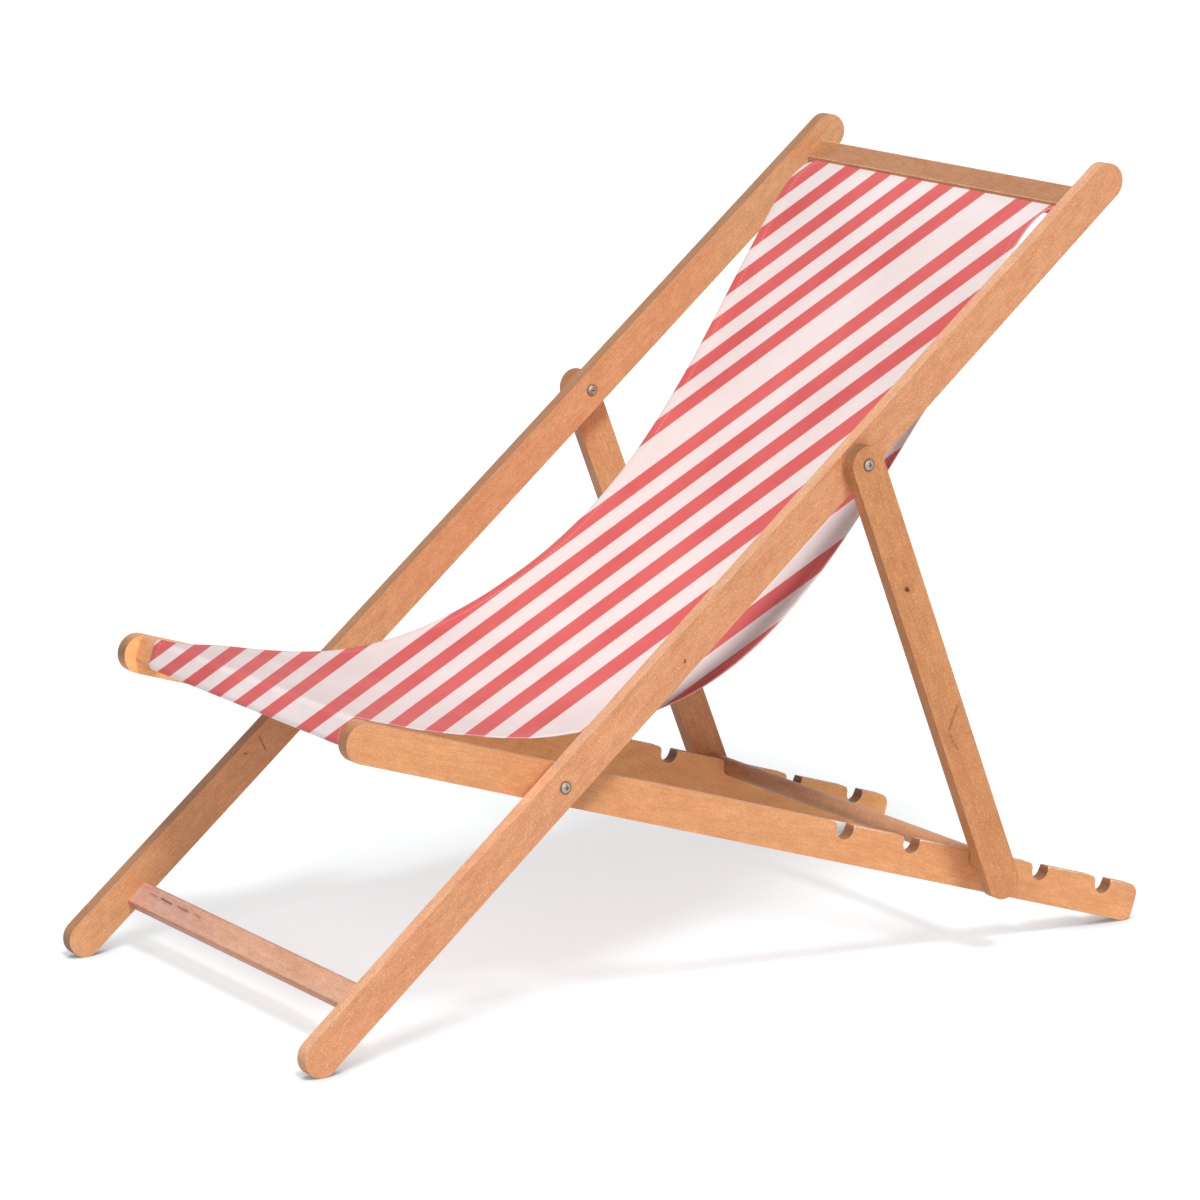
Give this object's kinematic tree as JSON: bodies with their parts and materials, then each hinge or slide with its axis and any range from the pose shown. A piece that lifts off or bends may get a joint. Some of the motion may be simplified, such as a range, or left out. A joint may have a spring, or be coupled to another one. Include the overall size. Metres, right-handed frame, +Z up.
{
  "type": "deck chair",
  "caption": "Folding wooden deck chair with nested flat frames, a notched prop and a hanging sling of red and white striped canvas.",
  "frame": {"origin": "on the floor, under the middle of the chair's footprint", "axes": "+Z up, the sitter looks towards -Y, +X is the sitter's left"},
  "size_m": [0.5684, 1.0796, 0.8535],
  "materials": {
    "back_rail": "satin clear varnish on reddish hardwood",
    "seat_rail": "satin clear varnish on reddish hardwood",
    "prop_leg": "satin clear varnish on reddish hardwood",
    "cross_rail": "satin clear varnish on reddish hardwood",
    "front_bar": "satin clear varnish on reddish hardwood",
    "prop_bar": "satin clear varnish on a turned round bar",
    "pivot_steel": "satin zinc-plated steel",
    "canvas": "matt cotton canvas, red and white diagonal stripes",
    "tack_steel": "dull steel"
  },
  "bodies": {
    "back_frame": {"back_rail_left": "back_rail", "back_rail_right": "back_rail", "top_rail": "cross_rail", "foot_rail": "cross_rail", "seat_pivot_bolt_left": "pivot_steel", "seat_pivot_bolt_right": "pivot_steel", "seat_pivot_nut_left": "pivot_steel", "seat_pivot_nut_right": "pivot_steel", "seat_pivot_washer_left": "pivot_steel", "seat_pivot_washer_right": "pivot_steel", "prop_pivot_bolt_left": "pivot_steel", "prop_pivot_bolt_right": "pivot_steel", "prop_pivot_nut_left": "pivot_steel", "prop_pivot_nut_right": "pivot_steel", "prop_pivot_washer_left": "pivot_steel", "prop_pivot_washer_right": "pivot_steel", "sling": "canvas", "sling_tacks_top": "tack_steel"},
    "seat_frame": {"seat_rail_left": "seat_rail", "seat_rail_right": "seat_rail", "seat_front_bar": "front_bar", "sling_front_hem": "canvas", "sling_tacks_front": "tack_steel"},
    "prop_frame": {"prop_leg_left": "prop_leg", "prop_leg_right": "prop_leg", "prop_bar": "prop_bar"}
  },
  "joints": [
    {"name": "seat_fold", "type": "hinge", "parent": "back_frame", "child": "seat_frame", "pos_m": [0, -0.23186, 0.2602], "axis": [1, 0, 0], "range_deg": [0, 57.39]},
    {"name": "prop_fold", "type": "hinge", "parent": "back_frame", "child": "prop_frame", "pos_m": [0, 0.12983, 0.56189], "axis": [1, 0, 0], "range_deg": [-68.3, 0]}
  ],
  "couplings": [
    {"joint": "prop_fold", "follows": "seat_fold", "ratio": -1.19}
  ]
}
